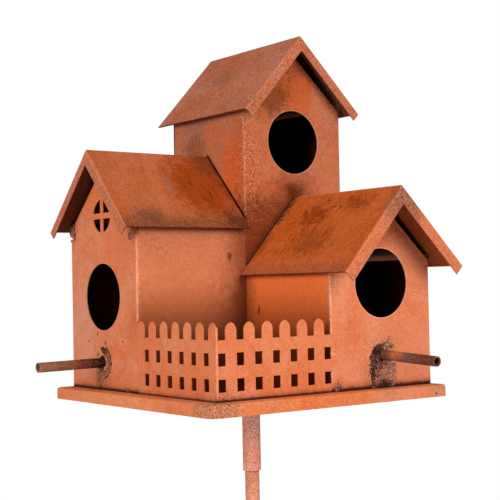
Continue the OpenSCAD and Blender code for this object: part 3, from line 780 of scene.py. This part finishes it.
# Socket tube and pole
dress("socket_tube", rust("socket_rust", srgb(232, 158, 132), srgb(196, 118, 88), shift=(0.2, 0.2, 0.4),
                          patches=0.5, grain=0.7, specks=0.6, powder=0.5, tints=(
    # Top of the socket painted lighter and pinker: partly its tone, partly painted light against the tray's
    # shadow
    spot(SOCKET_TOP, 46, srgb(250, 196, 180), 0.8, ragged=0.4),), marks=(
    *speckled(SOCKET_TOP, 60, 0.8, dark=GREY_RUST, pale=GLINT, pale_share=0.6),
    *speckled(SOCKET_TOP + Vector((0, 0, -0.075)), 26, 0.9, dark=DARK_BROWN, pale=WEAR_AND_HIGHLIGHT))))
dress("pole", rust("pole_rust", srgb(214, 142, 112), srgb(180, 104, 74), shift=(0.2, 0.2, 0.4), patches=0.5,
                   grain=0.55, specks=0.5, powder=0.3))

# Perches, each with a pale open end
LEFT_ROOT = on_left(64.5, LEFT_PERCH_Z)
dress("left_perch", rust("left_perch_rust", srgb(122, 70, 48), srgb(98, 48, 28), shift=(0.6, 0.3, 0.4),
                         patches=0.6, grain=0.4, specks=0.5, powder=0.25, tints=(
    spot((GABLE_X - 0.064, LEFT_Y, DECK + 0.022), 40, srgb(142, 90, 68), 0.8, soft=0.9),
    spot(LEFT_ROOT, 32, srgb(26, 11, 5), 0.97, soft=0.9, ragged=0.3)), marks=(
    spot((GABLE_X - 0.066, LEFT_Y, DECK + 0.022), 6, PINK, 0.6, ragged=0.3),)))
dress("right_perch", rust("right_perch_rust", srgb(108, 64, 48), srgb(92, 50, 32), shift=(0.1, 0.3, 0.8),
                          patches=0.6, grain=0.4, specks=0.5, powder=0.3, tints=(
    spot((0.056, GABLE_Y - 0.020, DECK + 0.032), 13, srgb(172, 98, 62), 0.8, ragged=0.5),
    spot((RIGHT_X, GABLE_Y - 0.032, DECK + 0.024), 9, srgb(104, 80, 74), 0.7, ragged=0.5)), marks=(
    spot((RIGHT_X, GABLE_Y - 0.067, DECK + 0.0245), 6, PINK, 0.7, ragged=0.3),)))

# Welds
weld_values = {"dark": BLACK_RUST, "patches": 0.7, "grain": 0.7, "specks": 0.8, "bump": 0.7, "bump_mm": 0.5}
weld_rust = rust("weld_rust", srgb(104, 58, 42), srgb(58, 30, 20), bloom=srgb(196, 150, 130), powder=0.5,
                 **weld_values)
for weld in ("shoulder_welds", "socket_weld"):
    dress(weld, weld_rust)
left_crust_rust = rust("left_crust_rust", srgb(178, 108, 74), srgb(100, 52, 30), bloom=srgb(214, 160, 134),
                       powder=0.6, shift=(0.3, 0.7, 0.2), marks=(
    spot(on_left(72, 10), 17, srgb(200, 128, 98), 0.8, (1, 1, 0.9), through="Grit"),
    spot(LEFT_ROOT, 7.6, SCORCHED, 0.9, soft=0.4),
    rim(LEFT_ROOT, 8.75, BLACK_RUST, 0.95, 0.8),
    rim(LEFT_ROOT, 11.1, BLACK_RUST, 0.9, 0.7),
    rim(LEFT_ROOT, 13.4, BLACK_RUST, 0.8, 0.7),
    spot(on_left(64.5, 37), 6, BLACK_RUST, 0.8, (1, 1.6, 1)),
    # Painted glint
    spot(on_left(73, 17.5), 2.2, GLINT, 0.9)), **weld_values)
left_corner_rust = rust("left_corner_rust", srgb(196, 112, 76), srgb(150, 78, 44), dark=BLACK_RUST,
                        grain=0.6, specks=0.8)
right_crust_rust = rust("right_crust_rust", srgb(156, 98, 76), srgb(96, 54, 38), bloom=srgb(226, 184, 164),
                        powder=0.8, shift=(0.5, 0.2, 0.6), marks=(
    spot(on_right(48, 20), 18, srgb(58, 30, 22), 0.85, (0.5, 1, 1.6)),
    spot(on_right(49, 20), 18, srgb(226, 196, 182), 0.75, (0.6, 1, 1.6), through="Sparkle"),
    spot(on_right(61, 2), 15, srgb(34, 16, 12), 0.9, (1.1, 1, 0.45)),
    spot(on_right(52, 34), 10, srgb(28, 14, 10), 0.85, (1.1, 1, 0.9)),
    spot(on_right(57, 28), 6, SCORCHED, 0.85, (0.7, 1, 1.2)),
    spot(on_right(76, 14), 10, BLACK_RUST, 0.9, (0.5, 1, 1.7), through="Grit"),
    spot(on_right(67.5, 38.5), 5.5, GLINT, 0.75, through="Sparkle"),
    # Painted glints on the crust
    spot(on_right(72.8, 21.5), 1.3, GLINT, 0.9),
    spot(on_right(51.9, 19.7), 1.0, GLINT, 0.9),
    spot(on_right(57.7, 4.6), 1.0, GLINT, 0.9),
    spot(on_right(65.9, 5.3), 0.8, GLINT, 0.9)), **weld_values)


def wall_frame(origin, across, out):
    """Turns (across, up, out of the wall) in millimetres into the part's frame."""
    turn = Matrix((across, UP, out)).transposed().to_4x4()
    return Matrix.Translation(origin) @ turn @ Matrix.Scale(MM, 4)


LEFT_WALL = wall_frame((GABLE_X, LEFT_Y, DECK), (0, -1, 0), (-1, 0, 0))
RIGHT_WALL = wall_frame((RIGHT_X, GABLE_Y, DECK), (1, 0, 0), (0, -1, 0))

# Weld spatter: fineness of a lump, voxel that fuses them, millimetres sunk into the sheet, roughness
LUMP_FACETS = 2
VOXEL = 0.45 * MM
BURIED = 0.55
COARSE_SCALE, COARSE_SHARE = 260, 0.6
CRISP_SCALE, CRISP_SHARE = 900, 0.4


def fuse_lumps(name, wall, lumps):
    """New object of lumps, each given by its middle and radii, fused into one skin."""
    form = bmesh.new()
    for middle, radii in lumps:
        place = wall @ Matrix.Translation(middle) @ Matrix.Diagonal((*radii, 1))
        bmesh.ops.create_icosphere(form, subdivisions=LUMP_FACETS, radius=1.0, matrix=place)
    mesh = bpy.data.meshes.new(name)
    form.to_mesh(mesh)
    form.free()
    piece = bpy.data.objects.new(name, mesh)
    bpy.context.scene.collection.objects.link(piece)
    fuse = piece.modifiers.new("fuse", "REMESH")
    fuse.mode = "VOXEL"
    fuse.voxel_size = VOXEL
    fused = bpy.data.meshes.new_from_object(piece.evaluated_get(bpy.context.evaluated_depsgraph_get()))
    piece.modifiers.remove(fuse)
    piece.data = fused
    return piece


def roughen(skin, wall, rough):
    """Roughens a skin by so many millimetres, and flattens what is sunk deeper than BURIED."""
    form = bmesh.new()
    form.from_mesh(skin)
    home = wall.inverted()
    for vert in form.verts:
        way = vert.normal.copy()
        coarse = noise.fractal(vert.co * COARSE_SCALE, 1.0, 2.0, 3)
        crisp = noise.fractal(vert.co * CRISP_SCALE, 0.8, 2.0, 2)
        vert.co += way * (COARSE_SHARE * coarse + CRISP_SHARE * crisp) * rough * MM
        local = home @ vert.co
        if local.z < -BURIED:
            local.z = -BURIED
            vert.co = wall @ local
    bmesh.ops.recalc_face_normals(form, faces=form.faces)
    form.to_mesh(skin)
    form.free()


def weld_mass(name, wall, lumps, rough, material, replaced=None):
    """Spattered weld on a wall, which may stand in for a node of the model."""
    piece = fuse_lumps(name, wall, lumps)
    roughen(piece.data, wall, rough)
    piece.data.materials.clear()
    piece.data.materials.append(material)
    for face in piece.data.polygons:
        face.use_smooth = True
    if replaced:
        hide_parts(replaced)
    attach(piece, "root")


def arc_of_lumps(draw, middle_z, radius, start, end, count, size):
    """Lumps along an arc round a perch, its angles from the level in degrees."""
    lumps = []
    for step in range(count):
        angle = math.radians(start + (end - start) * step / (count - 1))
        reach = radius * draw.uniform(0.93, 1.07)
        place = (reach * math.cos(angle), middle_z + reach * math.sin(angle), draw.uniform(0.0, 0.5))
        wide = size * draw.uniform(0.8, 1.2)
        lumps.append((place, (wide, wide, wide * 0.85)))
    return lumps


def strewn_lumps(draw, low, high, count, size, proud):
    """Lumps strewn over a rectangle of the wall, standing so far proud of it."""
    lumps = []
    for _ in range(count):
        place = (draw.uniform(low[0], high[0]), draw.uniform(low[1], high[1]), 0.0)
        wide = size * draw.uniform(0.6, 1.3)
        lumps.append((place, (wide, wide * draw.uniform(0.8, 1.5), proud * draw.uniform(0.5, 1.2))))
    return lumps


# Crust round the left perch, in rings and a run below it
draw = random.Random(11)
left_lumps = arc_of_lumps(draw, LEFT_PERCH_Z, PERCH_R + 1.6, -180, 170, 16, 1.7)
for radius in (7.6, 9.9, 12.4):
    left_lumps += arc_of_lumps(draw, LEFT_PERCH_Z, radius, -80, 105, int(3.2 * radius), 1.05)
left_lumps += [((5.2, 34, 0), (1.8, 2.6, 1.0)), ((5.9, 36.5, 0), (0.9, 2.0, 0.7)),
               ((-9.6, 31, 0), (1.7, 2.6, 0.9)), ((-8.6, 18.5, 0.2), (2.2, 1.8, 1.5))]
left_lumps += strewn_lumps(draw, (-12, 3), (-4, 17), 22, 0.9, 0.45)
left_lumps += strewn_lumps(draw, (-3, 5), (8, 15), 14, 0.9, 0.4)
weld_mass("left_perch_crust", LEFT_WALL, left_lumps, 0.45, left_crust_rust, "left_perch_weld")

# Heavier crust beside and below the right perch
draw = random.Random(7)
right_lumps = arc_of_lumps(draw, RIGHT_PERCH_Z, PERCH_R + 1.8, -180, 170, 16, 2.1)
right_lumps += arc_of_lumps(draw, RIGHT_PERCH_Z, 8.6, 75, 200, 11, 1.7)
right_lumps += arc_of_lumps(draw, RIGHT_PERCH_Z - 2, 11.6, 115, 205, 9, 1.5)
right_lumps += [((5.0, 35.5, 0), (3.2, 3.2, 2.2)), ((7.0, 39, 0), (2.0, 3.0, 1.6)),
                ((7.6, 41.6, 0.2), (1.5, 2.4, 1.2)), ((10.5, 35, 0), (2.4, 2.2, 1.2))]
right_lumps += strewn_lumps(draw, (-14.5, 1.5), (-6, 30), 44, 1.9, 1.3)
right_lumps += strewn_lumps(draw, (-6, 1), (13.5, 22), 90, 1.7, 1.1)
weld_mass("right_perch_crust", RIGHT_WALL, right_lumps, 0.6, right_crust_rust, "right_perch_weld")

# Plug and crust at the left house's shoulders, and tacks at the feet of the gables
corner_lumps = strewn_lumps(random.Random(3), (49, 133), (58, 139), 34, 1.9, 0.6)
weld_mass("left_corner_weld", LEFT_WALL, corner_lumps, 0.3, left_corner_rust)
draw = random.Random(5)
shoulder_lumps = strewn_lumps(draw, (-57, 133), (-50, 148), 26, 1.4, 0.9)
shoulder_lumps += [((-57.3, 140 + 2.2 * step, -0.6 * step), (1.2, 1.5, 1.4)) for step in range(4)]
weld_mass("left_shoulder_crust", LEFT_WALL, shoulder_lumps, 0.4, left_crust_rust)
tack_lumps = strewn_lumps(draw, (-53, 0.6), (-48.5, 5.5), 12, 1.1, 0.8)
tack_lumps += [((-50.2, 7.5, 0), (0.9, 1.6, 0.6)), ((-49.4, 4.4, 0.4), (1.1, 1.1, 1.0))]
weld_mass("right_gable_tack", RIGHT_WALL, tack_lumps, 0.3, right_crust_rust)
tack_lumps = strewn_lumps(draw, (38, 0.6), (43, 3.0), 9, 0.9, 0.7)
weld_mass("left_gable_tack", LEFT_WALL, tack_lumps, 0.3, right_crust_rust)

# Camera at the photo's viewpoint, its angles in radians
VIEWPOINT = (-0.63329, -0.85260, 0.82008)
LENS, SENSOR = 85.51, 36.0
yaw, pitch, roll = 0.6408, 0.0299, -0.0202
look = Vector((math.sin(yaw) * math.cos(pitch), math.cos(yaw) * math.cos(pitch), math.sin(pitch)))
level = Vector((math.cos(yaw), -math.sin(yaw), 0))
rise = level.cross(look)
side = math.cos(roll) * level + math.sin(roll) * rise
top = -math.sin(roll) * level + math.cos(roll) * rise
camera = bpy.data.objects.new("camera", bpy.data.cameras.new("camera"))
turn = Matrix((side, top, -look)).transposed().to_4x4()
camera.matrix_world = Matrix.Translation(VIEWPOINT) @ turn
camera.data.lens = LENS
camera.data.sensor_width = SENSOR
camera.data.clip_start = 0.01
bpy.context.scene.collection.objects.link(camera)
bpy.context.scene.camera = camera


# Soft studio light
HOUSES = Vector((0, 0, 0.85))
SOFTBOX_WIDTH = 1.3


def softbox(name, place, power):
    """A round soft light that faces the houses, its power in watts."""
    lamp = bpy.data.lights.new(name, "AREA")
    lamp.shape = "DISK"
    lamp.size = SOFTBOX_WIDTH
    lamp.energy = power
    holder = bpy.data.objects.new(name, lamp)
    holder.location = place
    holder.rotation_euler = (HOUSES - Vector(place)).to_track_quat("-Z", "Y").to_euler()
    bpy.context.scene.collection.objects.link(holder)


softbox("softbox_right", (0.35, -1.9, 1.5), 36)
softbox("softbox_left", (-1.9, -0.5, 1.4), 31)

# White background, with a weaker white fill on the part
FILL_STRENGTH = 0.2
world = bpy.data.worlds.new("studio")
world.use_nodes = True
bpy.context.scene.world = world
air = world.node_tree
air.nodes.clear()
paper, fill = air.nodes.new("ShaderNodeBackground"), air.nodes.new("ShaderNodeBackground")
paper.inputs["Color"].default_value = (1, 1, 1, 1)
fill.inputs["Color"].default_value = (1, 1, 1, 1)
fill.inputs["Strength"].default_value = FILL_STRENGTH
switch, path = air.nodes.new("ShaderNodeMixShader"), air.nodes.new("ShaderNodeLightPath")
sky = air.nodes.new("ShaderNodeOutputWorld")
air.links.new(path.outputs["Is Camera Ray"], switch.inputs[0])
air.links.new(fill.outputs[0], switch.inputs[1])
air.links.new(paper.outputs[0], switch.inputs[2])
air.links.new(switch.outputs[0], sky.inputs[0])
bpy.context.scene.view_settings.view_transform = "Standard"

# Pale studio floor, just under the foot of the pole
FLOOR_R, FLOOR_Z = 1.5, -0.001
floor_form = bmesh.new()
bmesh.ops.create_circle(floor_form, cap_ends=True, segments=96, radius=FLOOR_R,
                        matrix=Matrix.Translation((0, 0, FLOOR_Z)))
floor_mesh = bpy.data.meshes.new("studio_floor")
floor_form.to_mesh(floor_mesh)
floor_form.free()
floor = bpy.data.objects.new("studio_floor", floor_mesh)
bpy.context.scene.collection.objects.link(floor)
pale = bpy.data.materials.new("pale_floor")
pale.use_nodes = True
matt = pale.node_tree.nodes["Principled BSDF"]
matt.inputs["Base Color"].default_value = (0.85, 0.85, 0.84, 1)
matt.inputs["Roughness"].default_value = 0.9
floor_mesh.materials.append(pale)
